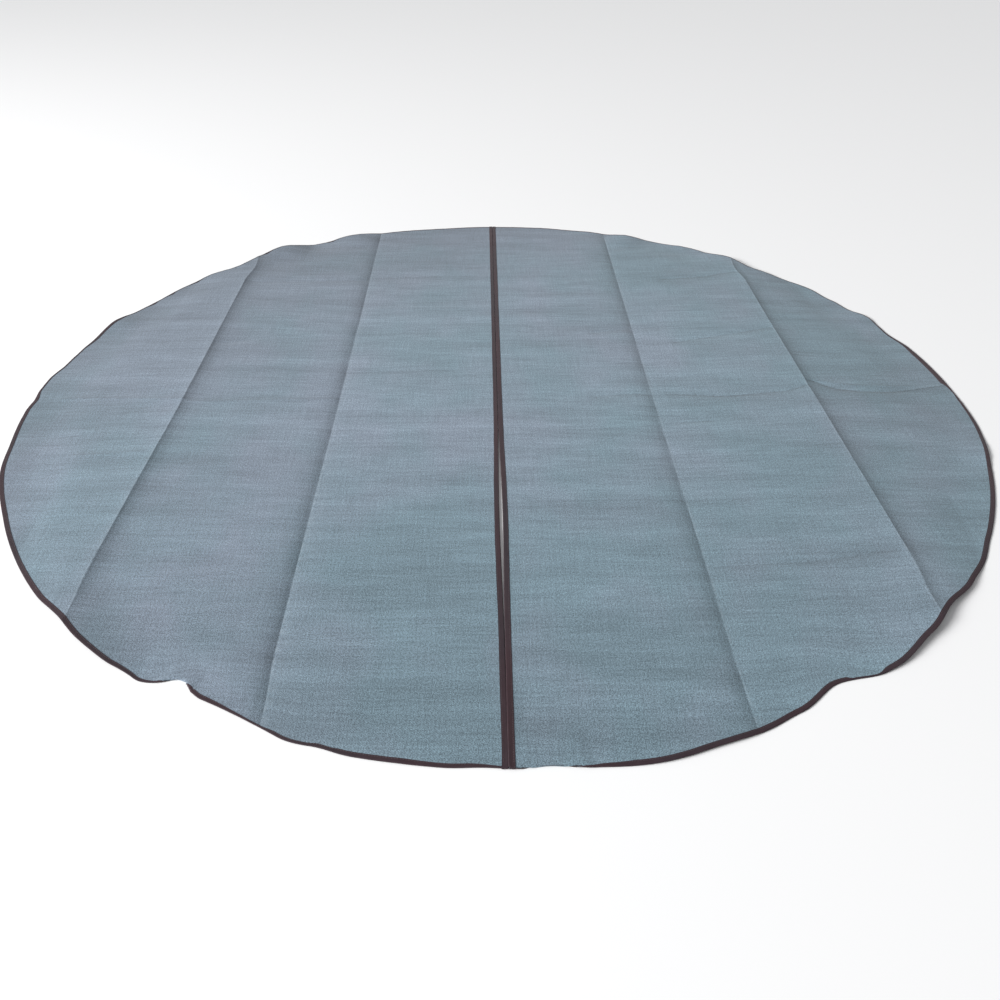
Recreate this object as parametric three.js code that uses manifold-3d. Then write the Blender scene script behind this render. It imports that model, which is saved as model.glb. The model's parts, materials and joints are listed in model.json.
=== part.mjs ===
// A round ground cover in two half-moons that meet along a straight slit.
// Each half is one woven cloth with two fold creases parallel to the slit, and a tape folded over its whole edge.
// Millimetres, +Z up. The slit runs along Y, and the origin is under the middle of the slit, on the ground.
// Each half stands as a low fan: the inner panel lies flat, the middle panel rises from a valley crease to a
// ridge crease, and the outer panel falls from the ridge back to the ground.

import * as THREE from 'three';
import { mergeVertices } from 'three/addons/utils/BufferGeometryUtils.js';
import Module from 'manifold-3d';

// Driving dimensions.
const COVER_RADIUS = 1830;
const SLIT_GAP = 3;
const INNER_WIDTH = 621; // along the cloth, from the middle of the slit to the inner crease
const MIDDLE_WIDTH = 621; // from the inner crease to the outer crease
const RIDGE_HEIGHT = 22; // of the cloth's underside at the outer crease

const CLOTH_THICKNESS = 3;
const MARGIN_THICKNESS = 1.2; // of the cloth's edge, where the seam presses it thin inside the tape
const TAPE_THICKNESS = 0.6;
const TAPE_WIDTH = 17; // of the tape on each face, once it is folded over the edge

const CREASE_GAP = 1; // between two panels, so that they can turn
const TAPE_CREASE_GAP = 3; // between two stretches of tape
const SIDE_GAP = 0.8; // between cloth and tape, in the plane of the cloth
const ARC_STEP = 2; // degrees between the corners of a round edge

// Worked out from them.
const OUTER_WIDTH = COVER_RADIUS - INNER_WIDTH - MIDDLE_WIDTH;
const OUTER_CREASE = INNER_WIDTH + MIDDLE_WIDTH;
const SLIT_EDGE = SLIT_GAP / 2;
const MIDDLE_SLOPE = Math.asin(RIDGE_HEIGHT / MIDDLE_WIDTH);
const OUTER_SLOPE = Math.asin(RIDGE_HEIGHT / OUTER_WIDTH);
const MARGIN_INSET = TAPE_THICKNESS + SIDE_GAP; // from the outside of the tape to the cloth's cut edge
const FULL_INSET = TAPE_WIDTH + SIDE_GAP; // from the outside of the tape to the cloth's full thickness

// The folded tape's section, as inset from its outside and height above its underside, anticlockwise.
const TAPE_SECTION = [
  [0, 0],
  [TAPE_WIDTH, 0],
  [TAPE_WIDTH, TAPE_THICKNESS],
  [TAPE_THICKNESS, TAPE_THICKNESS],
  [TAPE_THICKNESS, CLOTH_THICKNESS - TAPE_THICKNESS],
  [TAPE_WIDTH, CLOTH_THICKNESS - TAPE_THICKNESS],
  [TAPE_WIDTH, CLOTH_THICKNESS],
  [0, CLOTH_THICKNESS],
];

const clothMaterial = () => new THREE.MeshStandardMaterial({ color: 0x8697a3, roughness: 0.9, metalness: 0 });
const tapeMaterial = () => new THREE.MeshStandardMaterial({ color: 0x45383b, roughness: 0.8, metalness: 0 });

const wasm = await Module();
wasm.setup();

// A three.js geometry as a manifold solid, for a join.
function solidOf(geometry) {
  const bare = geometry.clone();
  bare.deleteAttribute('normal');
  bare.deleteAttribute('uv');
  const merged = mergeVertices(bare);
  const mesh = new wasm.Mesh({
    numProp: 3,
    vertProperties: new Float32Array(merged.attributes.position.array),
    triVerts: new Uint32Array(merged.index.array),
  });
  return new wasm.Manifold(mesh);
}

// A manifold solid as a three.js geometry.
function geometryOf(solid) {
  const mesh = solid.getMesh();
  const geometry = new THREE.BufferGeometry();
  geometry.setAttribute('position', new THREE.Float32BufferAttribute(mesh.vertProperties, 3));
  geometry.setIndex(Array.from(mesh.triVerts));
  geometry.computeVertexNormals();
  return geometry;
}

// Where a round edge of this radius crosses a line at distance x from the slit's middle, as an angle from +X.
const angleAt = (radius, x) => Math.acos(x / radius);

// Points on a round edge, from one angle to another, with both ends.
function arcPoints(radius, from, to) {
  const steps = Math.ceil(THREE.MathUtils.radToDeg(Math.abs(to - from)) / ARC_STEP);
  const points = [];
  for (let i = 0; i <= steps; i += 1) {
    const angle = THREE.MathUtils.lerp(from, to, i / steps);
    points.push(new THREE.Vector2(radius * Math.cos(angle), radius * Math.sin(angle)));
  }
  return points;
}

// The outline of a strip of the half-disc between two lines parallel to the slit.
// A strip with no second line reaches the rim.
function stripOutline(radius, xStart, xEnd) {
  if (xEnd === undefined) {
    const angle = angleAt(radius, xStart);
    return new THREE.Shape(arcPoints(radius, -angle, angle));
  }
  const front = arcPoints(radius, -angleAt(radius, xStart), -angleAt(radius, xEnd));
  const back = arcPoints(radius, angleAt(radius, xEnd), angleAt(radius, xStart));
  return new THREE.Shape([...front, ...back]);
}

function slab(outline, bottom, thickness) {
  const geometry = new THREE.ExtrudeGeometry(outline, { depth: thickness, bevelEnabled: false });
  return geometry.translate(0, 0, bottom);
}

// One panel of cloth: its full thickness, joined to the thin margin that lies inside the tape.
// slitSide says that the panel's first edge is a taped one and not a crease.
function panelGeometry(xStart, xEnd, slitSide = false) {
  const fullStart = slitSide ? xStart + FULL_INSET : xStart;
  const marginStart = slitSide ? xStart + MARGIN_INSET : xStart;
  const full = slab(stripOutline(COVER_RADIUS - FULL_INSET, fullStart, xEnd), 0, CLOTH_THICKNESS);
  const marginBottom = (CLOTH_THICKNESS - MARGIN_THICKNESS) / 2;
  const margin = slab(
    stripOutline(COVER_RADIUS - MARGIN_INSET, marginStart, xEnd),
    marginBottom,
    MARGIN_THICKNESS,
  );
  return geometryOf(solidOf(full).add(solidOf(margin)));
}

// The folded tape, swept along an edge. placeAt gives x and y for an inset from the edge and a share of the way.
function tapeGeometry(steps, placeAt) {
  const corners = TAPE_SECTION.length;
  const positions = [];
  for (let i = 0; i <= steps; i += 1) {
    for (const [inset, height] of TAPE_SECTION) {
      const [x, y] = placeAt(inset, i / steps);
      positions.push(x, y, height);
    }
  }
  const index = [];
  for (let i = 0; i < steps; i += 1) {
    for (let k = 0; k < corners; k += 1) {
      const a = i * corners + k;
      const b = i * corners + ((k + 1) % corners);
      index.push(a, b, a + corners);
      index.push(b, b + corners, a + corners);
    }
  }
  const contour = TAPE_SECTION.map(([inset, height]) => new THREE.Vector2(inset, height));
  const last = steps * corners;
  for (const [a, b, c] of THREE.ShapeUtils.triangulateShape(contour, [])) {
    index.push(a, c, b);
    index.push(last + a, last + b, last + c);
  }
  const geometry = new THREE.BufferGeometry();
  geometry.setAttribute('position', new THREE.Float32BufferAttribute(positions, 3));
  geometry.setIndex(index);
  geometry.computeVertexNormals();
  return geometry;
}

// Tape on the rim between two lines parallel to the slit, on the back (+Y) or the front (-Y) of the cover.
function rimTape(xStart, xEnd, back) {
  const sign = back ? 1 : -1;
  const spanAt = (radius) => [sign * angleAt(radius, xStart), sign * angleAt(radius, xEnd)];
  return roundTape(spanAt, back);
}

// Tape round the whole rim of the outer panel.
function outerRimTape(xStart) {
  return roundTape((radius) => [-angleAt(radius, xStart), angleAt(radius, xStart)], false);
}

// Tape on a round edge. spanAt gives the angles at which a line of the tape at some radius starts and ends.
// reversed is for a span that runs clockwise, so that the faces still point out.
function roundTape(spanAt, reversed) {
  const [start, end] = spanAt(COVER_RADIUS);
  const steps = Math.ceil(THREE.MathUtils.radToDeg(Math.abs(end - start)) / ARC_STEP);
  return tapeGeometry(steps, (inset, share) => {
    const radius = COVER_RADIUS - inset;
    const [from, to] = spanAt(radius);
    const angle = reversed ? THREE.MathUtils.lerp(to, from, share) : THREE.MathUtils.lerp(from, to, share);
    return [radius * Math.cos(angle), radius * Math.sin(angle)];
  });
}

// Tape along the slit, as long as the cloth is there.
function slitTape() {
  const halfLength = Math.sqrt(COVER_RADIUS ** 2 - (SLIT_EDGE + TAPE_WIDTH) ** 2);
  return tapeGeometry(1, (inset, share) => [SLIT_EDGE + inset, halfLength * (1 - 2 * share)]);
}

function piece(name, geometry, material) {
  const mesh = new THREE.Mesh(geometry, material);
  mesh.name = name;
  return mesh;
}

// A group that turns about a crease line, with its contents kept in the flat cloth's own coordinates.
function foldedAt(x, slope) {
  const crease = new THREE.Group();
  crease.position.x = x;
  crease.rotation.y = slope;
  const content = new THREE.Group();
  content.position.x = -x;
  crease.add(content);
  return { crease, content };
}

// One half, reaching along +X. front and back name its ends, because the left half is this one turned round.
function makeHalf(side, front, back) {
  const half = new THREE.Group();
  const innerEnd = INNER_WIDTH - CREASE_GAP / 2;
  const middleStart = INNER_WIDTH + CREASE_GAP / 2;
  const middleEnd = OUTER_CREASE - CREASE_GAP / 2;
  const outerStart = OUTER_CREASE + CREASE_GAP / 2;
  const innerTape = [SLIT_EDGE + FULL_INSET, INNER_WIDTH - TAPE_CREASE_GAP / 2];
  const middleTape = [INNER_WIDTH + TAPE_CREASE_GAP / 2, OUTER_CREASE - TAPE_CREASE_GAP / 2];

  half.add(piece(`${side}_inner_panel`, panelGeometry(SLIT_EDGE, innerEnd, true), clothMaterial()));
  half.add(piece(`${side}_slit_binding`, slitTape(), tapeMaterial()));
  half.add(piece(`${side}_inner_${front}_binding`, rimTape(...innerTape, false), tapeMaterial()));
  half.add(piece(`${side}_inner_${back}_binding`, rimTape(...innerTape, true), tapeMaterial()));

  const middle = foldedAt(INNER_WIDTH, -MIDDLE_SLOPE);
  middle.content.add(piece(`${side}_middle_panel`, panelGeometry(middleStart, middleEnd), clothMaterial()));
  middle.content.add(piece(`${side}_middle_${front}_binding`, rimTape(...middleTape, false), tapeMaterial()));
  middle.content.add(piece(`${side}_middle_${back}_binding`, rimTape(...middleTape, true), tapeMaterial()));
  half.add(middle.crease);

  const outer = foldedAt(OUTER_CREASE, MIDDLE_SLOPE + OUTER_SLOPE);
  outer.content.add(piece(`${side}_outer_panel`, panelGeometry(outerStart), clothMaterial()));
  const outerTapeStart = OUTER_CREASE + TAPE_CREASE_GAP / 2;
  outer.content.add(piece(`${side}_outer_binding`, outerRimTape(outerTapeStart), tapeMaterial()));
  middle.content.add(outer.crease);
  return half;
}

const cover = new THREE.Group();
cover.add(makeHalf('right', 'front', 'back'));
const left = makeHalf('left', 'back', 'front');
left.rotation.z = Math.PI;
cover.add(left);

export default cover;
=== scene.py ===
# Looks for the round ground cover in two half-moons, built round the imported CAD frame.
# Metres, +Z up and +Y along the slit towards the back. The origin is on the ground under the slit's middle.
# Every piece is laid out on the flat plan of the cover, and then put onto one surface, which says how the
# cloth lies.

import functools
import json
import math

import bpy
import numpy as np
from mathutils import Matrix, Vector


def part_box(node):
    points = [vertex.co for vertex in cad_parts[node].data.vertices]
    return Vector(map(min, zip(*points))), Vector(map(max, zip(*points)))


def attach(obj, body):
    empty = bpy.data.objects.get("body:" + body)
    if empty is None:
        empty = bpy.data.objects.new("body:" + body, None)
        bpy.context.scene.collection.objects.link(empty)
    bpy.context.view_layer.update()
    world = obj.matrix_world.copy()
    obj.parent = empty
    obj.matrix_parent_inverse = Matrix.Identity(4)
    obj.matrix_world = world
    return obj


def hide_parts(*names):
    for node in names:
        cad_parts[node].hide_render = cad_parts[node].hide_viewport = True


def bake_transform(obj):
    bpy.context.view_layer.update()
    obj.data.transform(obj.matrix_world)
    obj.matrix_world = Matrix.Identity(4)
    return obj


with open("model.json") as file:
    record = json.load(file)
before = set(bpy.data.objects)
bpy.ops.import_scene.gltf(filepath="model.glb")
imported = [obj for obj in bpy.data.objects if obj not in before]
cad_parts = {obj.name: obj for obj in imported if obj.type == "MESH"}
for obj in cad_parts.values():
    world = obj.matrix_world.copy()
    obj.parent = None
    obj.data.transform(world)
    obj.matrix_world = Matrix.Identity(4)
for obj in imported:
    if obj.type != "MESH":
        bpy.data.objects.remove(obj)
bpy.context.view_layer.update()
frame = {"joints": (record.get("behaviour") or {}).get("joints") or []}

# ---- Sizes that come from the frame ----

HINGES = {joint["name"]: joint["pos_m"] for joint in frame["joints"] if joint["type"] == "hinge"}
SLIT_TAPE_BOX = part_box("right_slit_binding")
COVER_RADIUS = math.hypot(SLIT_TAPE_BOX[1].x, SLIT_TAPE_BOX[1].y)
SLIT_EDGE = SLIT_TAPE_BOX[0].x
TAPE_WIDTH = SLIT_TAPE_BOX[1].x - SLIT_TAPE_BOX[0].x
INNER_CREASE = HINGES["right_inner_crease"][0]
OUTER_CREASE = HINGES["right_outer_crease"][0]
RIDGE_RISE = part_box("right_middle_panel")[1].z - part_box("right_inner_panel")[1].z

MM = 0.001

# ---- The camera ----

# These values are rounded from a fit of the cover's outline to the photo's, made outside this script.
CAMERA_AT = (-0.0345 * COVER_RADIUS, -1.7235 * COVER_RADIUS, 0.982 * COVER_RADIUS)
CAMERA_PITCH = 36.78  # degrees below the horizon
CAMERA_YAW = 1.25  # degrees to the right of +Y
CAMERA_ROLL = 0.56  # degrees anticlockwise, as a hand holds it
CAMERA_LENS = 32.17  # mm, on a 36 mm sensor

camera_data = bpy.data.cameras.new("camera")
camera_data.sensor_width = 36.0
camera_data.lens = CAMERA_LENS
camera = bpy.data.objects.new("camera", camera_data)
camera.location = CAMERA_AT
turns = ((-CAMERA_YAW, "Z"), (90 - CAMERA_PITCH, "X"), (CAMERA_ROLL, "Z"))
yaw, pitch, roll = [Matrix.Rotation(math.radians(degrees), 3, axis) for degrees, axis in turns]
camera.rotation_euler = (yaw @ pitch @ roll).to_euler()
bpy.context.scene.collection.objects.link(camera)
bpy.context.scene.camera = camera

# ---- How the cloth lies ----

CLOTH_THICKNESS = 2.2 * MM
TAPE_HALF = 1.8 * MM  # from the cloth's middle surface to the outside of the tape
REST_HEIGHT = 1.8 * MM  # of the cloth's middle surface, where the tape rests on the ground

# Each crease is steeper on one side: (rise, distance in which it starts, distance in which it fades out).
VALLEY_LEFT = (11.0 * MM, 40 * MM, 260 * MM)
VALLEY_RIGHT = (2.4 * MM, 32 * MM, 220 * MM)
RIDGE_LEFT = (2.6 * MM, 60 * MM, 300 * MM)
RIDGE_RIGHT = (11.5 * MM, 44 * MM, 240 * MM)
CREASE_AT_RIM = 0.4  # share of those rises that is left at the rim
CREASE_RIM_REACH = 150 * MM

# The rim lies lower than the fan's straight slopes, from this far beside a ridge.
RIM_DROOP_START = 60 * MM
RIM_DROOP_SLOPE = 0.06
RIM_DROOP_REACH = 260 * MM

# Waves of the rim: degrees round from +X, height, half-width in degrees, reach towards the middle.
RIM_WAVES = [
    (21, 5 * MM, 3.5, 180 * MM),
    (57, 4 * MM, 3, 120 * MM),
    (66, 11 * MM, 4, 200 * MM),
    (114.5, 13 * MM, 5, 200 * MM),
    (127, 18 * MM, 6, 240 * MM),
    (161, 12 * MM, 4.5, 160 * MM),
    (198, 6 * MM, 6, 120 * MM),
    (345, 5 * MM, 4, 120 * MM),
]

# Where the cut departs from a true circle: degrees, distance outwards, half-width in degrees.
RIM_CUT = [
    (15, -14 * MM, 4),
    (20.5, 8 * MM, 2.5),
    (24.5, -16 * MM, 3),
    (28.5, -14 * MM, 4),
    (40, -26 * MM, 8),
    (43.5, -20 * MM, 4),
    (47.5, -12 * MM, 6),
    (51.5, -22 * MM, 3.5),
    (60, -6 * MM, 4),
    (99, -10 * MM, 8),
    (117, 12 * MM, 3),
    (128, 18 * MM, 4.5),
    (137, -38 * MM, 6),
    (145, -8 * MM, 5),
    (153, -22 * MM, 9),
    (166.5, -6 * MM, 3),
    (171, -14 * MM, 7),
    (174.5, -6 * MM, 3),
    (183, -7 * MM, 2.5),
    (200, 8 * MM, 8),
    (226, -8 * MM, 4),
    (236.5, -7 * MM, 3),
    (240.6, -30 * MM, 3.4),
    (243.6, -38 * MM, 6),
    (248.8, -28 * MM, 5.5),
    (255, -8 * MM, 3),
    (268, -5 * MM, 3),
    (273.1, 9 * MM, 4),
    (282, 22 * MM, 9),
    (290, 10 * MM, 5),
    (294, -5 * MM, 4),
    (298.8, -34 * MM, 4.6),
    (305.5, 13 * MM, 4.5),
    (315, -15 * MM, 4.5),
    (324, 6 * MM, 4),
    (350, 8 * MM, 9),
]
CUT_REACH = 250 * MM

# Where the edge is turned under itself: degrees, length turned, half-width in degrees.
RIM_TUCKS = [
    (240.9, 17 * MM, 2.3),
    (273.1, 16 * MM, 4.6),
]
TUCK_RADIUS = 2.2 * MM
TUCK_LIFT_REACH = 170 * MM

# Weak fold lines and wrinkles that run across the cloth: plan points along each one, height (less than 0 for
# a valley), half-width, and how strong its painted light and shade are. The points are the photo's lines
# projected onto the ground by a separate script, then rounded to the centimetre.
WRINKLES = [
    ([(-1.70, -0.09), (-1.25, -0.12)], 3.4 * MM, 12 * MM, 1.4),
    ([(-1.50, -0.50), (-1.30, -0.49)], 2.8 * MM, 14 * MM, 0.8),
    ([(-1.20, -0.13), (-0.65, -0.10)], 2.6 * MM, 14 * MM, 0.9),
    ([(-1.20, 1.02), (-0.65, 1.06)], -2.4 * MM, 24 * MM, 0.8),
    ([(-1.22, 0.36), (-1.10, 0.40)], -2.5 * MM, 22 * MM, 0.6),
    ([(-0.60, 1.10), (-0.30, 1.13)], -3.2 * MM, 26 * MM, 1.2),
    ([(-0.60, 0.48), (-0.25, 0.50)], -3.2 * MM, 22 * MM, 1.2),
    ([(-0.60, 0.13), (-0.20, 0.15)], -2.8 * MM, 18 * MM, 1.0),
    ([(-0.55, 0.74), (-0.05, 0.75)], 1.6 * MM, 16 * MM, 0.4),
    ([(0.40, -0.07), (0.60, -0.05)], -2.8 * MM, 20 * MM, 1.0),
    ([(0.45, 0.49), (0.60, 0.52)], -3.2 * MM, 22 * MM, 1.1),
    ([(0.70, -0.05), (0.90, -0.08), (1.15, -0.05), (1.23, -0.01)], -3.8 * MM, 26 * MM, 2.2),
    ([(0.65, -0.27), (0.80, -0.26)], -2.8 * MM, 18 * MM, 1.2),
    ([(0.80, 0.40), (1.00, 0.45), (1.22, 0.51)], -3.8 * MM, 28 * MM, 1.7),
    ([(0.85, 1.08), (1.05, 1.10), (1.22, 1.16)], -3.2 * MM, 28 * MM, 2.1),
    ([(0.65, -1.10), (1.00, -1.08), (1.20, -1.04)], -3.0 * MM, 20 * MM, 1.6),
    ([(1.28, 0.04), (1.42, 0.00), (1.60, 0.00), (1.82, 0.03)], 2.4 * MM, 12 * MM, 0.9),
    ([(1.28, 0.03), (1.35, -0.02), (1.44, -0.04), (1.58, -0.04), (1.82, 0.02)], -5.0 * MM, 28 * MM, 3.0),
]
WRINKLE_FADE = 45 * MM  # past its ends

SLIT_CLOSING = 1.1 * MM  # the slit is shut tighter than the frame's by this much on each side
SLIT_EDGE_REACH = 0.35  # of that and of the opening, away from the slit
SLIT_OPENING = [  # outwards, of each half's edge: y of the middle, distance, half-width
    (-0.82, 5 * MM, 0.62),
    (-1.75, -1.2 * MM, 0.34),
]
SLIT_RISE = [  # of each half's edge, so that one laps over the other: middle's y, left, right, half-width
    (-1.75, 0 * MM, 4.6 * MM, 0.4),
]
SLIT_RISE_REACH = 60 * MM
SLIT_DRIFT = (-7 * MM, -13 * MM)  # sideways, of the slit's front and back ends
SLIT_DRIFT_REACH = 1.85
GROUND_EASE = 1.2 * MM  # how softly the cloth settles onto the ground

# Unevenness of the whole cloth: height, size of its cells along x and y, shift in cells along x and y, seed.
CLOTH_NOISE = [
    (0.45 * MM, 0.32, 0.055, 9, 70, 1),
    (0.18 * MM, 0.2, 0.028, 9, 90, 2),
    (1.2 * MM, 0.6, 0.35, 20, 20, 3),
]

# Unevenness of the rim: height, size of its cells in degrees, reach towards the middle, seed.
RIM_NOISE = [
    (1.8 * MM, 4.5, 70 * MM, 4),
    (0.5 * MM, 0.8, 35 * MM, 5),
]

# The creases are not quite straight: how far each lies to the right of its line, at three values of y.
CREASE_BOW_AT = (-1.1, -0.18, 0.64)
CREASE_BOWS = {
    -OUTER_CREASE: (-4 * MM, 10 * MM, 9 * MM),
    -INNER_CREASE: (-8 * MM, -2 * MM, 0 * MM),
    INNER_CREASE: (0 * MM, -6 * MM, -8 * MM),
    OUTER_CREASE: (10 * MM, 5 * MM, -2 * MM),
}
CREASE_BOW_REACH = 0.3

NORMAL_STEP = 0.2 * MM  # between the points that give the cloth's slope


def ease(share):
    """0 up to no share, 1 from the whole share on, and smooth between them."""
    share = np.clip(share, 0.0, 1.0)
    return share * share * (3 - 2 * share)


def hump(distance, half_width):
    """1 at no distance, easing to 0 at half_width on both sides."""
    return ease(1 - np.abs(distance) / half_width)


def degrees_apart(angle, centre):
    return (angle - centre + 180) % 360 - 180


def soft_noise(u, v, seed):
    """Smooth noise from -1 to 1 with cells of size 1, the same on each run."""
    cells = 64
    table = np.random.default_rng(seed).uniform(-1, 1, (cells, cells))
    iu = np.floor(u).astype(int)
    iv = np.floor(v).astype(int)
    fu = ease(u - iu)
    fv = ease(v - iv)
    low = table[iu % cells, iv % cells] * (1 - fu) + table[(iu + 1) % cells, iv % cells] * fu
    high = table[iu % cells, (iv + 1) % cells] * (1 - fu) + table[(iu + 1) % cells, (iv + 1) % cells] * fu
    return low * (1 - fv) + high * fv


def crease_side(distance, rise, start, fade):
    """Extra height beside a crease, at some distance from it."""
    return rise * (1 - np.exp(-distance / start)) * np.exp(-distance / fade)


def crease_shape(x, inset):
    """Height of the low fan: flat inner panels, valleys at the inner creases and ridges at the outer ones."""
    away = np.abs(x)
    up = (away - INNER_CREASE) / (OUTER_CREASE - INNER_CREASE)
    down = (COVER_RADIUS - away) / (COVER_RADIUS - OUTER_CREASE)
    tent = RIDGE_RISE * np.clip(np.minimum(up, down), 0, 1)
    droop = RIM_DROOP_SLOPE * np.clip(np.abs(away - OUTER_CREASE) - RIM_DROOP_START, 0, None)
    height = tent - np.minimum(droop, tent) * ease(1 - inset / RIM_DROOP_REACH)
    share = CREASE_AT_RIM + (1 - CREASE_AT_RIM) * ease(inset / CREASE_RIM_REACH)
    for valley in (-INNER_CREASE, INNER_CREASE):
        height += share * crease_side(np.clip(valley - x, 0, None), *VALLEY_LEFT)
        height += share * crease_side(np.clip(x - valley, 0, None), *VALLEY_RIGHT)
    for ridge in (-OUTER_CREASE, OUTER_CREASE):
        height -= share * crease_side(np.clip(ridge - x, 0, None), *RIDGE_LEFT)
        height -= share * crease_side(np.clip(x - ridge, 0, None), *RIDGE_RIGHT)
    return height


def wrinkle_place(x, y, line):
    """Distance beyond a wrinkle's line, and how much of it there is, fading out past both of its ends."""
    line_x, line_y = zip(*line)
    past = np.clip(np.maximum(line_x[0] - x, x - line_x[-1]), 0, None)
    return y - np.interp(x, line_x, line_y), ease(1 - past / WRINKLE_FADE)


def cloth_height(x, y, angle, inset):
    """Height of the cloth's middle surface, before any tuck of the rim."""
    near_rim = np.clip(inset, 0, None)
    height = crease_shape(x, near_rim)
    for rise, cell_x, cell_y, shift_x, shift_y, seed in CLOTH_NOISE:
        height += rise * soft_noise(x / cell_x + shift_x, y / cell_y + shift_y, seed)
    for rise, cell, reach, seed in RIM_NOISE:
        height += rise * soft_noise(angle / cell, 0 * angle, seed) * ease(1 - near_rim / reach)
    for line, rise, half_width, _ in WRINKLES:
        beyond, present = wrinkle_place(x, y, line)
        height += rise * np.exp(-np.abs(beyond) / half_width) * present
    for centre, rise, half_width, reach in RIM_WAVES:
        height += rise * hump(degrees_apart(angle, centre), half_width) * ease(1 - near_rim / reach)
    height = REST_HEIGHT + (height + np.hypot(height, GROUND_EASE)) / 2
    for middle, left_rise, right_rise, half_width in SLIT_RISE:
        rise = np.where(x < 0, left_rise, right_rise)
        lean = np.clip(1 - np.abs(x) / SLIT_RISE_REACH, 0, 1) ** 2
        height += rise * hump(y - middle, half_width) * lean
    return height


def tuck_length(angle):
    """How much of the edge is turned under at some angle round from +X."""
    length = 0 * angle
    for centre, turned, half_width in RIM_TUCKS:
        length = length + turned * hump(degrees_apart(angle, centre), half_width)
    return length


def tucked(angle, radius, inset, height):
    """Distance from the middle and height, once the edge is turned under and the cloth lies on top of it."""
    tuck = tuck_length(angle)
    into_tuck = np.clip(tuck - inset, 0, None)
    turned = np.minimum(into_tuck / TUCK_RADIUS, math.pi)
    outwards = TUCK_RADIUS * np.sin(turned) - np.clip(into_tuck - math.pi * TUCK_RADIUS, 0, None)
    whole_drop = TUCK_RADIUS * (1 - np.cos(np.minimum(tuck / TUCK_RADIUS, math.pi)))
    drop = np.minimum(TUCK_RADIUS * (1 - np.cos(turned)), whole_drop)
    missing = np.clip(whole_drop - (height - REST_HEIGHT), 0, None)
    height = height + missing * ease(1 - np.clip(inset - tuck, 0, None) / TUCK_LIFT_REACH) - drop
    return np.where(into_tuck > 0, COVER_RADIUS - tuck + outwards, radius), height


def moved_sideways(moved_x, x, y):
    """moved_x with the slit's drift, opening and closing and the creases' bows. x and y are on the plan."""
    side = np.where(x < 0, -1.0, 1.0)
    front_share = 0.5 - 0.5 * y / COVER_RADIUS
    drift = SLIT_DRIFT[0] * front_share + SLIT_DRIFT[1] * (1 - front_share)
    moved_x = moved_x + drift * ease(1 - np.abs(x) / SLIT_DRIFT_REACH)
    for crease, bow in CREASE_BOWS.items():
        moved_x = moved_x + np.interp(y, CREASE_BOW_AT, bow) * hump(x - crease, CREASE_BOW_REACH)
    near_slit = ease(1 - np.abs(x) / SLIT_EDGE_REACH)
    moved_x = moved_x - side * SLIT_CLOSING * near_slit
    for middle, distance, half_width in SLIT_OPENING:
        moved_x = moved_x + side * distance * hump(y - middle, half_width) * near_slit
    return moved_x


def cloth_point(x, y):
    """The cloth's middle surface over a point of the flat plan."""
    radius = np.maximum(np.hypot(x, y), MM)
    angle = np.degrees(np.arctan2(y, x)) % 360
    inset = COVER_RADIUS - radius
    moved_radius, height = tucked(angle, radius, inset, cloth_height(x, y, angle, inset))
    for centre, distance, half_width in RIM_CUT:
        cut = distance * hump(degrees_apart(angle, centre), half_width)
        moved_radius = moved_radius + cut * ease(1 - inset / CUT_REACH)
    moved_x = moved_sideways(x * moved_radius / radius, x, y)
    moved_y = y * moved_radius / radius
    return np.stack([moved_x, moved_y, height], -1)


def place(x, y, offset):
    """A point at some distance above the cloth's middle surface, square to it."""
    across = cloth_point(x + NORMAL_STEP, y) - cloth_point(x - NORMAL_STEP, y)
    along = cloth_point(x, y + NORMAL_STEP) - cloth_point(x, y - NORMAL_STEP)
    normal = np.cross(across, along)
    normal /= np.linalg.norm(normal, axis=-1, keepdims=True)
    return cloth_point(x, y) + normal * np.asarray(offset)[..., None]


# ---- Meshes ----

FLAT_MAP = "flat"  # UV map with the flat position in metres, so that the weave keeps its scale and place
SHARP_ANGLE = 50  # degrees between faces, from which an edge is a sharp one


def mesh_object(name, points, faces, flat, material):
    """A smooth mesh. flat holds two flat coordinates for each point."""
    mesh = bpy.data.meshes.new(name)
    mesh.from_pydata(points.tolist(), [], faces)
    corners = np.zeros(len(mesh.loops), np.int32)
    mesh.loops.foreach_get("vertex_index", corners)
    layer = mesh.uv_layers.new(name=FLAT_MAP)
    layer.data.foreach_set("uv", flat[corners].astype(np.float32).ravel())
    mesh.shade_smooth()
    mesh.materials.append(material)
    made = bpy.data.objects.new(name, mesh)
    bpy.context.scene.collection.objects.link(made)
    return made


def grid_faces(rows, columns):
    """Faces of a thin solid: its points are an outer grid, followed by an inner one of the same size."""
    index = np.arange(rows * columns).reshape(rows, columns)
    inner = rows * columns
    outer_quads = np.stack([index[:-1, :-1], index[:-1, 1:], index[1:, 1:], index[1:, :-1]], -1)
    outer_quads = outer_quads.reshape(-1, 4)
    around = np.concatenate([index[0, :-1], index[:-1, -1], index[-1, :0:-1], index[:0:-1, 0]])
    following = np.roll(around, -1)
    wall = np.stack([around, around + inner, following + inner, following], -1)
    return np.concatenate([outer_quads, outer_quads[:, ::-1] + inner, wall])


def thin_solid(name, outer, inner, flat, material, wear=None):
    """A closed thin solid between two grids of points."""
    rows, columns = outer.shape[:2]
    points = np.concatenate([outer.reshape(-1, 3), inner.reshape(-1, 3)])
    both = np.concatenate([flat.reshape(-1, 2)] * 2)
    made = mesh_object(name, points, grid_faces(rows, columns).tolist(), both, material)
    made.data.set_sharp_from_angle(angle=math.radians(SHARP_ANGLE))
    # Painted light and shade, with some wear, for the cloth's material.
    if wear is not None:
        layer = made.data.attributes.new("wear", "FLOAT", "POINT")
        layer.data.foreach_set("value", np.concatenate([wear.ravel()] * 2).astype(np.float32))
    return made


# ---- Materials ----


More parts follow.
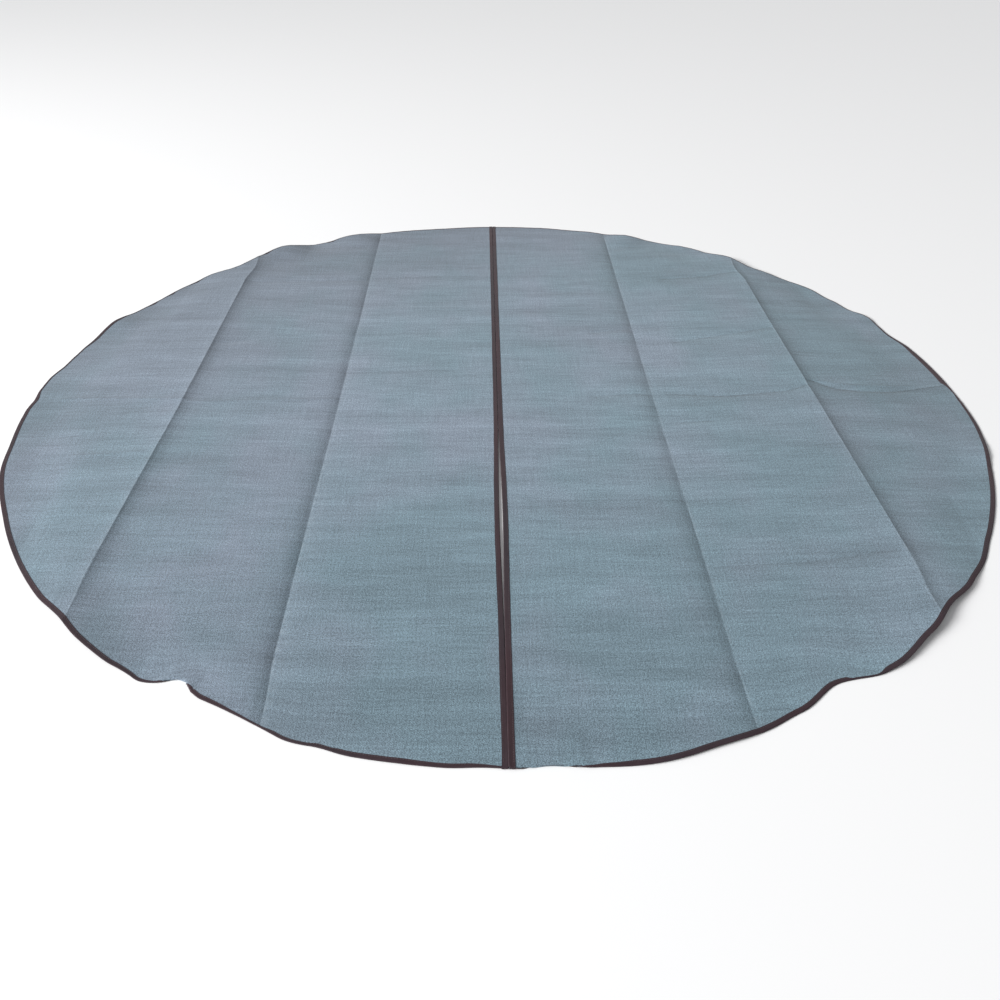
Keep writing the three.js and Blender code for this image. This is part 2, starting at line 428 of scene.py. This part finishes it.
class Shader:
    """A material's node tree, with short ways to add to it."""

    def __init__(self, name):
        self.material = bpy.data.materials.new(name)
        self.material.use_nodes = True
        self.tree = self.material.node_tree
        self.surface = self.tree.nodes["Principled BSDF"]
        self.flat = self.node("ShaderNodeUVMap", uv_map=FLAT_MAP).outputs["UV"]

    def node(self, kind, inputs=(), **settings):
        made = self.tree.nodes.new(kind)
        for name, value in settings.items():
            setattr(made, name, value)
        for key, value in dict(inputs).items():
            self.set(made.inputs[key], value)
        return made

    def set(self, socket, value):
        if isinstance(value, bpy.types.NodeSocket):
            self.tree.links.new(value, socket)
        else:
            socket.default_value = value

    def math(self, operation, a, b=0.0):
        return self.node("ShaderNodeMath", {0: a, 1: b}, operation=operation).outputs[0]

    def plus(self, *values):
        return functools.reduce(lambda a, b: self.math("ADD", a, b), values)

    def minus(self, a, b):
        return self.math("SUBTRACT", a, b)

    def times(self, *values):
        return functools.reduce(lambda a, b: self.math("MULTIPLY", a, b), values)

    def noise(self, scale, detail=2.0, roughness=0.5, shift=(0, 0, 0)):
        """Noise on the flat map, about 0.5, with its own number of cells a metre along and across."""
        scaling = {"Vector": self.flat, "Scale": (*scale, 1), "Location": shift}
        vector = self.node("ShaderNodeMapping", scaling).outputs[0]
        inputs = {"Vector": vector, "Scale": 1.0, "Detail": detail, "Roughness": roughness}
        return self.node("ShaderNodeTexNoise", inputs, noise_dimensions="2D").outputs["Fac"]

    def around_one(self, value, gain):
        """A factor that goes as far from 1 as gain times value's distance from a half."""
        return self.plus(self.times(self.minus(value, 0.5), gain), 1.0)

    def spread(self, value, gain):
        """value moved away from a half, and kept from 0 to 1."""
        inputs = {0: value, 1: 0.5 - 0.5 / gain, 2: 0.5 + 0.5 / gain}
        return self.node("ShaderNodeMapRange", inputs).outputs[0]

    def mix(self, factor, a, b):
        """A colour from a to b. The node's sockets 6, 7 and 2 are the ones for colours."""
        return self.node("ShaderNodeMix", {0: factor, 6: a, 7: b}, data_type="RGBA").outputs[2]

    def scaled(self, colour, factor):
        return self.node("ShaderNodeVectorMath", {0: colour, "Scale": factor}, operation="SCALE").outputs[0]

    def axis(self, name):
        return self.node("ShaderNodeSeparateXYZ", {0: self.flat}).outputs[name]

    def wave(self, value, pitch):
        return self.math("SINE", self.times(value, 2 * math.pi / pitch))

    def above_zero(self, value):
        """A value from -1 to 1, moved to lie from 0 to 1."""
        return self.plus(self.times(value, 0.5), 0.5)

    def paint(self, colour, roughness, settings):
        """Sets the surface. settings holds the values that are the same all over it."""
        self.set(self.surface.inputs["Base Color"], colour)
        self.set(self.surface.inputs["Roughness"], roughness)
        for name, value in settings.items():
            self.surface.inputs[name].default_value = value

    def bump(self, height, distance):
        made = self.node("ShaderNodeBump", {"Height": height, "Distance": distance, "Strength": 1.0})
        self.set(self.surface.inputs["Normal"], made.outputs[0])


CLOTH_GREEN = (0.160, 0.234, 0.280, 1)
CLOTH_LILAC = (0.200, 0.246, 0.306, 1)
# The pale colour of the painted light beside creases and wrinkles, with some wear along the crease lines.
CLOTH_LIT_AND_WORN = (0.34, 0.41, 0.47, 1)
WEAR_AND_LIGHT_PALING = 0.22  # the most that painted light, with some wear, pales the cloth along a crease or wrinkle
PAINTED_SHADE_DARKENING = 0.14  # the most that painted shade darkens it
HUE_DRIFT = (-0.24, 0.19)  # a metre, from green to lilac, along X and along Y
WEAVE_PITCH = 7 * MM  # two yarns
WEAVE_SWAY = 6 * MM
# Painted light and shade over the whole cover: lighter in the middle and at the near right, darker towards
# the rim and at the far left.
MIDDLE_PAINTED_LIGHT = 1.045  # painted light: brightness in the middle of the cover, against 1 for the colours above
FAR_LEFT_PAINTED_SHADE = 0.11  # painted shade, a metre, beyond FAR_LEFT_START
FAR_LEFT_START = 0.9
NEAR_RIGHT_PAINTED_LIGHT = 0.22  # painted light, a metre, beyond NEAR_RIGHT_START
NEAR_RIGHT_START = 1.9
RIM_PAINTED_SHADE = 0.05  # painted shade, a square metre, times the distance from the middle squared


CLOTH_BUMP = 0.6 * MM
CLOTH_SURFACE = {"Specular IOR Level": 0.25, "Sheen Weight": 0.12, "Sheen Roughness": 0.6}


def cloth_material():
    shader = Shader("woven_cloth")
    x, y = shader.axis("X"), shader.axis("Y")
    sway = shader.times(shader.minus(shader.noise((6, 6), 1.0), 0.5), WEAVE_SWAY)
    across = shader.wave(shader.plus(x, sway), WEAVE_PITCH)
    along = shader.wave(shader.plus(y, sway), WEAVE_PITCH)
    weave = shader.above_zero(shader.times(across, along))
    streaks = shader.noise((6, 70), 1.0, 0.5)
    fine_streaks = shader.noise((8, 180), 1.0, 0.5, (1, 9, 0))
    bands = shader.noise((1.5, 12), 1.5, 0.55, (3, 5, 0))
    speckle = shader.noise((330, 250), 1.0, 0.6, (7, 2, 0))
    grain = shader.noise((190, 100), 1.0, 0.6, (1, 6, 0))
    warp = shader.noise((150, 7), 1.0, 0.5, (6, 6, 0))
    patches = shader.spread(shader.noise((1.9, 1.3), 3.0, 0.55, (2, 8, 0)), 2.6)
    patches = shader.plus(patches, shader.times(x, HUE_DRIFT[0]), shader.times(y, HUE_DRIFT[1]))

    square = shader.plus(shader.times(x, x), shader.times(y, y))
    far_left = shader.math("MAXIMUM", shader.minus(shader.minus(y, x), FAR_LEFT_START), 0.0)
    near_right = shader.math("MAXIMUM", shader.minus(shader.minus(x, y), NEAR_RIGHT_START), 0.0)
    brightness = shader.times(
        shader.around_one(streaks, 0.3),
        shader.around_one(bands, 0.4),
        shader.around_one(fine_streaks, 0.24),
        shader.around_one(speckle, 1.65),
        shader.around_one(grain, 0.6),
        shader.around_one(warp, 0.26),
        # painted light and shade of the whole cover
        shader.minus(MIDDLE_PAINTED_LIGHT, shader.times(square, RIM_PAINTED_SHADE)),
        shader.minus(1.0, shader.times(far_left, FAR_LEFT_PAINTED_SHADE)),
        shader.plus(1.0, shader.times(near_right, NEAR_RIGHT_PAINTED_LIGHT)),
        shader.around_one(weave, 0.16),
    )
    colour = shader.scaled(shader.mix(patches, CLOTH_GREEN, CLOTH_LILAC), brightness)
    # Painted highlights and painted shade beside the creases and wrinkles, with some wear along the crease
    # lines.
    wear = shader.node("ShaderNodeAttribute", attribute_name="wear").outputs["Fac"]
    patchy = shader.spread(shader.noise((60, 45), 3.0, 0.6, (4, 4, 0)), 4.0)
    painted_pale = shader.times(shader.math("MAXIMUM", wear, 0.0), patchy, WEAR_AND_LIGHT_PALING)
    colour = shader.mix(painted_pale, colour, CLOTH_LIT_AND_WORN)
    painted_dark = shader.times(shader.math("MINIMUM", wear, 0.0), PAINTED_SHADE_DARKENING)
    colour = shader.scaled(colour, shader.plus(painted_dark, 1.0))

    roughness = shader.times(shader.around_one(bands, 0.25), 0.86)
    shader.paint(colour, roughness, CLOTH_SURFACE)
    height = shader.plus(shader.times(weave, 0.35), shader.times(speckle, 0.5), shader.times(streaks, 0.6))
    shader.bump(height, CLOTH_BUMP)
    return shader.material


TAPE_BROWN = (0.028, 0.0185, 0.0245, 1)
TAPE_RED = (0.052, 0.0185, 0.0235, 1)
TAPE_WORN = (0.085, 0.066, 0.072, 1)
TAPE_BUMP = 0.35 * MM
TAPE_SURFACE = {"Specular IOR Level": 0.25, "Sheen Weight": 0.1, "Sheen Roughness": 0.45}
RIB_PITCH = 1.8 * MM
FOLD_WEAR = 3.5 * MM  # reach of the wear from the fold, round the tape


def tape_material():
    shader = Shader("edge_tape")
    along, around = shader.axis("X"), shader.axis("Y")
    ribs = shader.above_zero(shader.wave(along, RIB_PITCH))
    yarns = shader.noise((90, 900), 2.0, 0.6)
    stretches = shader.spread(shader.noise((1.6, 12), 4.0, 0.6, (5, 1, 0)), 3.0)
    from_fold = {0: shader.math("ABSOLUTE", around), 1: FOLD_WEAR, 2: 0.0}
    fold = shader.node("ShaderNodeMapRange", from_fold).outputs[0]
    scuffs = shader.spread(shader.noise((25, 60), 4.0, 0.65, (9, 3, 0)), 3.5)
    # Wear at the fold and in scuffs, which pales the tape.
    wear = shader.times(shader.plus(shader.times(fold, 0.2), 0.08), scuffs)

    colour = shader.mix(shader.times(stretches, 0.55), TAPE_BROWN, TAPE_RED)
    brightness = shader.times(shader.around_one(ribs, 0.3), shader.around_one(yarns, 0.8))
    colour = shader.mix(wear, shader.scaled(colour, brightness), TAPE_WORN)
    roughness = shader.times(shader.around_one(yarns, 0.4), 0.72)
    shader.paint(colour, roughness, TAPE_SURFACE)
    shader.bump(shader.plus(shader.times(ribs, 0.5), shader.times(yarns, 0.6)), TAPE_BUMP)
    return shader.material


THREAD_DARK = (0.050, 0.034, 0.040, 1)
THREAD_PALE = (0.095, 0.070, 0.078, 1)
THREAD_BUMP = 0.12 * MM
THREAD_SURFACE = {"Sheen Weight": 0.1}
TWIST_PITCH = 1.1 * MM
TWIST_SLOPE = 0.4  # along the thread, for each unit round it


def thread_material():
    shader = Shader("sewing_thread")
    along, around = shader.axis("X"), shader.axis("Y")
    turned = shader.plus(along, shader.times(around, TWIST_SLOPE))
    twist = shader.above_zero(shader.wave(turned, TWIST_PITCH))
    fading = shader.spread(shader.noise((4, 4), 3.0, 0.6), 3.0)
    colour = shader.scaled(shader.mix(fading, THREAD_DARK, THREAD_PALE), shader.around_one(twist, 0.5))
    shader.paint(colour, shader.times(shader.around_one(fading, 0.2), 0.5), THREAD_SURFACE)
    shader.bump(twist, THREAD_BUMP)
    return shader.material


cloth = cloth_material()
tape = tape_material()
thread = thread_material()

# ---- Cloth pieces ----

CREASE_OVERLAP = 12 * MM  # a piece reaches this far past its crease
CLOTH_INSET = 2.2 * MM  # of the cloth's cut edge from the outside of the tape
CLOTH_RADIUS = COVER_RADIUS - CLOTH_INSET
COLUMN_STEP = 11 * MM
FINE_STEP = 1.6 * MM  # between columns near a crease
FINE_REACH = 14 * MM
ROW_COUNT = 550
ROW_PULL = 0.022  # how far rows are drawn towards the weak fold at mid length, as a share of half the length
ROW_PULL_REACH = 0.25
SHORTEST_ROW = 1 * MM  # of the outer panel

# Painted shading at each crease: a narrow pale line on its lit side, which is painted highlight with some
# wear, and a narrow painted shadow line on its dark side, with wider painted light and painted shade beside
# them.
NARROW_LINE_REACH = 3.0 * MM
PALE_LINE_AT = 2.0 * MM
PAINTED_SHADOW_AT = 3.0 * MM
PAINTED_SHADOW_LINE = 0.5
SHADE = 0.85
SHADE_REACH = 24 * MM  # of the wider painted shade
GLOW_REACH = 26 * MM  # of the wider painted light
GLOW = {-OUTER_CREASE: 0.35, -INNER_CREASE: 0.9, INNER_CREASE: 0.4, OUTER_CREASE: 0.3}
WIDE_MEAN = 0.8  # of the wider painted light and painted shade, which vary along the crease
WIDE_SWING = 0.5
WIDE_CELL = 0.16
WIDE_SHIFT = 9  # cells a metre, so that no two creases vary alike

# Painted shading at each wrinkle: painted shade on its dark side over its half-width and again in a narrow
# core, painted light on its lit side.
WRINKLE_PAINTED_SHADE = 0.6
WRINKLE_CORE_REACH = 7 * MM
WRINKLE_PAINTED_LIGHT = 0.14
WRINKLE_PAINTED_LIGHT_REACH = 10 * MM


def columns(start, end, creases=()):
    """Distances from the slit, close together near each crease."""
    marks = {start, end}
    for crease in creases:
        marks |= {max(start, crease - FINE_REACH), min(end, crease + FINE_REACH)}
    marks = sorted(marks)
    found = [start]
    for low, high in zip(marks, marks[1:]):
        fine = any(abs((low + high) / 2 - crease) < FINE_REACH for crease in creases)
        step = FINE_STEP if fine else COLUMN_STEP
        count = max(1, round((high - low) / step))
        found += [low + (high - low) * (i + 1) / count for i in range(count)]
    return np.array(found)


def wear_and_painted_shading_at(x, y):
    """Painted light and shade beside the creases and wrinkles, with some wear: more than 0 where the cloth is
    painted pale, and less than 0 where it is painted dark.
    """
    painted_and_worn = 0 * x
    for crease in (-OUTER_CREASE, -INNER_CREASE, INNER_CREASE, OUTER_CREASE):
        towards_dark = -1 if abs(crease) < OUTER_CREASE else 1
        into_dark = (x - crease) * towards_dark
        along = WIDE_MEAN + WIDE_SWING * soft_noise(y / WIDE_CELL + crease * WIDE_SHIFT, 0 * y, 7)
        # Wider painted light on the crease's lit side and painted shade on its dark side.
        glow = GLOW[crease] * along * np.exp(-np.abs(into_dark) / GLOW_REACH)
        shade = SHADE * along * np.exp(-((into_dark / SHADE_REACH) ** 2))
        # A narrow pale line on the lit side, painted highlight with some wear, and a narrow painted shadow
        # line on the dark side.
        painted_and_worn += np.exp(-(((into_dark + PALE_LINE_AT) / NARROW_LINE_REACH) ** 2))
        painted_and_worn -= PAINTED_SHADOW_LINE * np.exp(-(((into_dark - PAINTED_SHADOW_AT) / NARROW_LINE_REACH) ** 2))
        painted_and_worn += np.where(into_dark > 0, -shade, glow)
    for line, rise, half_width, strength in WRINKLES:
        beyond, present = wrinkle_place(x, y, line)
        away = np.abs(beyond)
        # Painted shade on the wrinkle's dark side and painted light on its lit side.
        painted_dark = WRINKLE_PAINTED_SHADE * (np.exp(-away / half_width) + np.exp(-away / WRINKLE_CORE_REACH))
        painted_pale = WRINKLE_PAINTED_LIGHT * np.exp(-away / WRINKLE_PAINTED_LIGHT_REACH)
        painted_and_worn += strength * present * np.where(beyond * np.sign(rise) > 0, -painted_dark, painted_pale)
    return painted_and_worn


def cloth_piece(name, x, y):
    flat = np.stack([x, y], -1)
    outer = place(x, y, np.full(x.shape, CLOTH_THICKNESS / 2))
    inner = place(x, y, np.full(x.shape, -CLOTH_THICKNESS / 2))
    return thin_solid(name, outer, inner, flat, cloth, wear_and_painted_shading_at(x, y))


def row_shares():
    """From -1, the front rim, to 1, the back rim, and closer together near the weak fold at mid length."""
    even = np.linspace(-1, 1, ROW_COUNT)
    return even - ROW_PULL * np.sin(np.pi * even) * np.exp(-((even / ROW_PULL_REACH) ** 2))


ROWS = row_shares()


def strip_grid(away, side):
    """Plan points of a strip between two lines parallel to the slit. Its rows spread out from the middle."""
    x = np.repeat(away[None, :], len(ROWS), 0)
    y = ROWS[:, None] * np.sqrt(CLOTH_RADIUS**2 - x**2)
    return in_order(x * side, y, side)


def segment_grid(start, side):
    """Plan points from a line parallel to the slit to the rim, in rows square to the slit."""
    y = (ROWS * math.sqrt(CLOTH_RADIUS**2 - start**2))[:, None]
    end = np.maximum(np.sqrt(CLOTH_RADIUS**2 - y**2), start + SHORTEST_ROW)
    away = columns(start, CLOTH_RADIUS, (OUTER_CREASE,))
    share = (away - start) / (CLOTH_RADIUS - start)
    fine = start + (away - start)[None, :]
    even = start + share[None, :] * (end - start)
    bent = np.clip((CLOTH_RADIUS - start - (end - start)) / (CLOTH_RADIUS - start), 0, 1)
    x = fine * (1 - bent) + even * bent
    x = start + (x - start) * (end - start) / (x[:, -1:] - start)
    return in_order(x * side, np.repeat(y, x.shape[1], 1), side)


def in_order(x, y, side):
    """The same grid with x rising along its rows, so that its faces point up."""
    return (x, y) if side > 0 else (x[:, ::-1], y[:, ::-1])


# ---- Tape and stitches ----

TAPE_SHELL = 0.6 * MM  # the tape's own thickness
TAPE_STEP = 8 * MM
TAPE_WANDER = 0.035  # share by which the tape's width on each face wanders
TAPE_WANDER_CELL = 0.06
TAPE_WANDER_SHIFT = (3, 7)
STITCH_INSET = 13.5 * MM
STITCH_GROOVE = 0.3 * MM
LAP_LENGTH = 24 * MM  # the slit's tape laps over the rim's tape at its ends
LAP_RAMP = 8 * MM
LAP_SWELL = 0.8 * MM
LAP_START = 2.5 * MM
SLIT_OVERHANG = 3.5 * MM

# The tape's section: insets of the points on each face, and angles of those round the fold.
TAPE_INSETS = [
    TAPE_WIDTH, 15.8 * MM, 14.6 * MM, STITCH_INSET, 12.4 * MM, 11.0 * MM, 8.5 * MM, 6.0 * MM, 3.8 * MM
]
FOLD_ANGLES = [75, 50, 25, 0, -25, -50, -75]


def tape_profile():
    """The folded tape's section, from edge to edge: inset, height and outward direction of its points."""
    middle = TAPE_HALF - TAPE_SHELL / 2
    found = []
    for inset in TAPE_INSETS:
        groove = STITCH_GROOVE if inset == STITCH_INSET else 0
        found.append((inset, middle - groove, 0.0, 1.0))
    for degrees in FOLD_ANGLES:
        c, s = math.cos(math.radians(degrees)), math.sin(math.radians(degrees))
        found.append((TAPE_HALF - middle * c, middle * s, -c, s))
    for inset, height, out, up in reversed(found[: len(TAPE_INSETS)]):
        found.append((inset, -height, out, -up))
    return np.array(found)


PROFILE = tape_profile()
PROFILE_LENGTH = np.concatenate([[0], np.cumsum(np.hypot(*np.diff(PROFILE[:, :2], axis=0).T))])
AROUND = PROFILE_LENGTH - PROFILE_LENGTH[-1] / 2


# How much of the tape shows on top of the rim, where it is folded over unevenly: degrees from +X, share.
FOLD_SHARES = [
    (0.4, 0.60),
    (1.2, 1.45),
    (9, 1.40),
    (13, 0.60),
    (20, 0.14),
    (60, 0.12),
    (72, 0.35),
    (105, 0.40),
    (112, 0.14),
    (117.5, 0.14),
    (118.8, 0.80),
    (120, 0.14),
    (129.5, 0.14),
    (130.6, 0.80),
    (132, 0.12),
    (143, 0.12),
    (144.4, 0.85),
    (146, 0.15),
    (148.6, 0.15),
    (149.6, 0.85),
    (150.8, 0.15),
    (152.6, 0.15),
    (153.6, 0.85),
    (155, 0.25),
    (158.5, 0.25),
    (160, 0.85),
    (166, 0.85),
    (169, 0.30),
    (180.5, 0.30),
    (182.5, 0.80),
    (227, 0.90),
    (235, 0.72),
    (238.3, 0.40),
    (239.6, 0.12),
    (241.5, 0.12),
    (241.9, 0.62),
    (244.5, 0.68),
    (247, 0.35),
    (249, 0.12),
    (250.4, 0.12),
    (251.5, 0.45),
    (254.6, 0.35),
    (255.1, 0.55),
    (256.4, 0.50),
    (256.9, 0.75),
    (262, 0.85),
    (264.5, 0.65),
    (267, 0.62),
    (268.3, 0.34),
    (269.5, 0.12),
    (276.2, 0.12),
    (277.0, 0.45),
    (279.5, 0.88),
    (298, 0.84),
    (300, 0.70),
    (300.4, 0.20),
    (302.8, 0.12),
    (303.6, 0.88),
    (320, 0.92),
    (340, 0.90),
    (352, 0.72),
    (357, 0.45),
    (358.5, 0.15),
]


def shown_share(plan_at, share):
    """Share of the tape's width that shows on top, along the rim."""
    x, y = plan_at(0 * share, share)
    degrees, shares = zip(*FOLD_SHARES)
    return np.interp(np.degrees(np.arctan2(y, x)) % 360, degrees, shares, period=360)


def folded_inset(inset, shown):
    """The inset that a line of the tape has where only a share of the tape's width shows."""
    return np.where(inset > 2 * TAPE_HALF, 2 * TAPE_HALF + (inset - 2 * TAPE_HALF) * shown, inset)


def tape_piece(name, plan_at, length, swell_at=None, uneven=True):
    """The folded tape along an edge. plan_at gives plan points for insets and shares of the way."""
    steps = max(2, round(length / TAPE_STEP))
    share = np.repeat(np.linspace(0, 1, steps + 1)[:, None], len(PROFILE), 1)
    inset, height, out, up = [np.repeat(column[None, :], steps + 1, 0) for column in PROFILE.T]
    shift_along, shift_across = TAPE_WANDER_SHIFT
    cells_along = share * length / TAPE_WANDER_CELL + shift_along
    wander = 1 + TAPE_WANDER * soft_noise(cells_along, 0 * share + shift_across, 6)
    shown = shown_share(plan_at, share) if uneven else np.ones_like(share)
    inset = folded_inset(inset, wander * np.where(height > 0, shown, 2 - shown))
    swell = 1.0 if swell_at is None else 1 + swell_at(share) / TAPE_HALF
    shells = []
    for reach in (TAPE_SHELL / 2, -TAPE_SHELL / 2):
        x, y = plan_at(inset + out * reach, share)
        shells.append(place(x, y, (height + up * reach) * swell))
    flat = np.stack([share * length, np.repeat(AROUND[None, :], steps + 1, 0)], -1)
    return thin_solid(name, *shells, flat, tape)


STITCH_PITCH = 7 * MM
STITCH_LENGTH = 5.2 * MM
STITCH_RADIUS = 0.5 * MM
STITCH_RINGS = [(-1.0, 0.45), (-0.55, 1.0), (0.55, 1.0), (1.0, 0.45)]  # place along half a stitch, size
STITCH_SIDES = 6
STITCH_SINK = 0.1 * MM  # of a stitch's ends into the groove
STITCH_ARCH = 0.3 * MM  # rise from each end, over half a stitch
STITCH_SLANT = 0.35 * MM


def stitch_faces(count):
    """Faces of a number of stitches: the sides of them all, and then both ends of each."""
    sides = STITCH_SIDES
    whole = len(STITCH_RINGS) * sides
    one = []
    for ring in range(len(STITCH_RINGS) - 1):
        for side in range(sides):
            a, b = ring * sides + side, ring * sides + (side + 1) % sides
            one.append((a, b, b + sides, a + sides))
    starts = np.arange(count) * whole
    faces = (np.array(one)[None] + starts[:, None, None]).reshape(-1, 4).tolist()
    for start in starts.tolist():
        faces.append([start + side for side in reversed(range(sides))])
        faces.append([start + whole - sides + side for side in range(sides)])
    return faces


def stitch_piece(name, plan_at, length, uneven=True):
    """A row of stitches along the tape, on its upper and on its lower face."""
    count = int(length / STITCH_PITCH)
    middles = np.repeat((np.arange(count) + 0.5) / count, 2)
    face = np.tile([1.0, -1.0], count)[:, None, None]
    rng = np.random.default_rng(len(name) + int(length * 1000))
    slant = STITCH_SLANT * rng.uniform(-1, 1, len(middles))[:, None, None]
    along = np.array([ring[0] for ring in STITCH_RINGS])[None, :, None]
    size = STITCH_RADIUS * np.array([ring[1] for ring in STITCH_RINGS])[None, :, None]
    turn = np.arange(STITCH_SIDES) * 2 * math.pi / STITCH_SIDES
    shape = (len(middles), len(STITCH_RINGS), STITCH_SIDES)

    share = middles[:, None, None] + along * STITCH_LENGTH / 2 / length + np.zeros(shape)
    shown = shown_share(plan_at, share) if uneven else np.ones(shape)
    inset = folded_inset(STITCH_INSET + np.zeros(shape), shown) + along * slant + size * np.cos(turn)
    rise = TAPE_HALF - STITCH_GROOVE - STITCH_SINK + STITCH_ARCH * (1 - np.abs(along))
    x, y = plan_at(inset, share)
    points = place(x, y, face * (rise + size * np.sin(turn)))
    flat = np.stack([share * length, np.broadcast_to(turn * STITCH_RADIUS, shape)], -1)
    return mesh_object(name, points.reshape(-1, 3), stitch_faces(len(middles)), flat.reshape(-1, 2), thread)


def slit_plan(side):
    """Plan points of the tape along the slit."""

    def plan_at(inset, share):
        away = SLIT_EDGE + inset
        reach = np.sqrt((COVER_RADIUS + SLIT_OVERHANG) ** 2 - away**2)
        return side * away, side * reach * (1 - 2 * share)

    return plan_at


def rim_plan(side, front, start, end=None):
    """Plan points of the tape on the rim from start to end, as distances from the slit.

    Without an end, it goes all the way round the outer panel. The left half is the right one turned round,
    so its front is worked out as the right half's back.
    """

    def plan_at(inset, share):
        radius = COVER_RADIUS - inset
        first = -np.arccos(start / radius)
        last = -np.arccos(end / radius) if end is not None else -first
        angle = first + (last - first) * share
        if front == (side < 0):
            angle = -angle
        angle = angle if side > 0 else angle + math.pi
        return radius * np.cos(angle), radius * np.sin(angle)

    return plan_at


def lap_swell(share):
    """How far the slit's tape stands out near its ends, where it laps over the rim's tape."""
    from_end = np.minimum(share, 1 - share) * 2 * COVER_RADIUS
    return LAP_SWELL * ease((LAP_LENGTH - from_end) / LAP_RAMP)


def arc_length(start, end=None):
    """Length of the rim that rim_plan covers."""
    if end is None:
        return 2 * COVER_RADIUS * math.acos(start / COVER_RADIUS)
    return COVER_RADIUS * (math.acos(start / COVER_RADIUS) - math.acos(end / COVER_RADIUS))


# ---- Both halves ----


# The kinds of piece that cross a crease: where it is, and the bodies on both sides of it.
CROSSINGS = {
    "inner": (INNER_CREASE, "inner", "middle"),
    "outer": (OUTER_CREASE, "middle", "outer"),
}


def bend(piece, side_name, kind):
    """Puts a piece on its body, or, where it goes across a crease from one body to the next, only moves its
    placement into its mesh.
    """
    if kind not in CROSSINGS:
        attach(piece, f"{side_name}_{kind}")
        return
    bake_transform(piece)


INNER_END = INNER_CREASE + CREASE_OVERLAP
MIDDLE_END = OUTER_CREASE - CREASE_OVERLAP
RIM_START = SLIT_EDGE + LAP_START


def strip_area(start, end):
    """Flat area of the half-disc's strip from start to end, as distances from the slit."""

    def below(x):
        sector = CLOTH_RADIUS**2 * math.asin(min(1.0, x / CLOTH_RADIUS))
        return x * math.sqrt(CLOTH_RADIUS**2 - x * x) + sector

    return below(end) - below(start)


def make_half(side_name, side):
    """One half, with side -1 for the left one and 1 for the right one."""
    tapes = {"inner": [], "middle": [], "outer": []}

    def edge(name, kind, plan_at, length, node, swell_at=None):
        """A stretch of tape with its stitches, in place of a node of the frame."""
        uneven = name != "slit"
        made = tape_piece(f"{side_name}_{name}_tape", plan_at, length, swell_at, uneven)
        sewn = stitch_piece(f"{side_name}_{name}_stitches", plan_at, length, uneven)
        for piece in (made, sewn):
            if name == "slit":
                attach(piece, f"{side_name}_inner")
            else:
                bend(piece, side_name, kind)
        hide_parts(node)
        tapes[kind] += [made, sewn]

    edge("slit", "inner", slit_plan(side), 2 * COVER_RADIUS, f"{side_name}_slit_binding", lap_swell)
    for end in ("front", "back"):
        for kind, start, stop in (("inner", RIM_START, INNER_END), ("middle", INNER_END, MIDDLE_END)):
            plan_at = rim_plan(side, end == "front", start, stop)
            name = f"{kind}_{end}"
            edge(name, kind, plan_at, arc_length(start, stop), f"{side_name}_{name}_binding")
    plan_at = rim_plan(side, True, MIDDLE_END)
    edge("outer", "outer", plan_at, arc_length(MIDDLE_END), f"{side_name}_outer_binding")

    slit_side = SLIT_EDGE + CLOTH_INSET
    grids = {
        "inner": (strip_grid(columns(slit_side, INNER_END, (INNER_CREASE,)), side), slit_side, INNER_END),
        "middle": (strip_grid(columns(INNER_END, MIDDLE_END), side), INNER_END, MIDDLE_END),
        "outer": (segment_grid(MIDDLE_END, side), MIDDLE_END, CLOTH_RADIUS),
    }
    for kind, ((x, y), start, stop) in grids.items():
        piece = cloth_piece(f"{side_name}_{kind}_cloth", x, y)
        bend(piece, side_name, kind)
        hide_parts(f"{side_name}_{kind}_panel")
        strip_area(start, stop)


make_half("left", -1)
make_half("right", 1)

# ---- Floor and light ----

FLOOR_SIZE = 60.0
FLOOR_COLOUR = (0.93, 0.93, 0.93, 1)
FLOOR_ROUGHNESS = 0.9

floor_mesh = bpy.data.meshes.new("floor")
half = FLOOR_SIZE / 2
floor_corners = [(-half, -half, 0), (half, -half, 0), (half, half, 0), (-half, half, 0)]
floor_mesh.from_pydata(floor_corners, [], [(0, 1, 2, 3)])
floor = bpy.data.objects.new("floor", floor_mesh)
bpy.context.scene.collection.objects.link(floor)
floor_material = bpy.data.materials.new("floor")
floor_material.use_nodes = True
floor_surface = floor_material.node_tree.nodes["Principled BSDF"].inputs
floor_surface["Base Color"].default_value = FLOOR_COLOUR
floor_surface["Roughness"].default_value = FLOOR_ROUGHNESS
floor_mesh.materials.append(floor_material)

# A soft sun from the left and a little to the front, and a wide lamp on the left that brightens that side.
SUN_FROM = (-19.0, -8.0, 9.0)
SUN_STRENGTH = 3.3
SUN_SOFTNESS = 20  # degrees across
KEY_FROM = (-9.6, -3.0, 4.3)
KEY_SIZE = (4.0, 3.0)
KEY_POWER = 930.0
WORLD_COLOUR = (0.97, 0.98, 1.0, 1)
WORLD_STRENGTH = 0.35


def lamp(name, kind, place_at):
    """Settings of a new lamp that points at the middle of the cover."""
    data = bpy.data.lights.new(name, kind)
    made = bpy.data.objects.new(name, data)
    made.location = place_at
    made.rotation_euler = (-Vector(place_at)).to_track_quat("-Z", "Y").to_euler()
    bpy.context.scene.collection.objects.link(made)
    return data


sun = lamp("sun", "SUN", SUN_FROM)
sun.energy = SUN_STRENGTH
sun.angle = math.radians(SUN_SOFTNESS)
key = lamp("key", "AREA", KEY_FROM)
key.shape = "RECTANGLE"
key.size, key.size_y = KEY_SIZE
key.energy = KEY_POWER

world = bpy.data.worlds.new("world")
world.use_nodes = True
background = world.node_tree.nodes["Background"].inputs
background["Color"].default_value = WORLD_COLOUR
background["Strength"].default_value = WORLD_STRENGTH
bpy.context.scene.world = world
bpy.context.scene.view_settings.view_transform = "Standard"
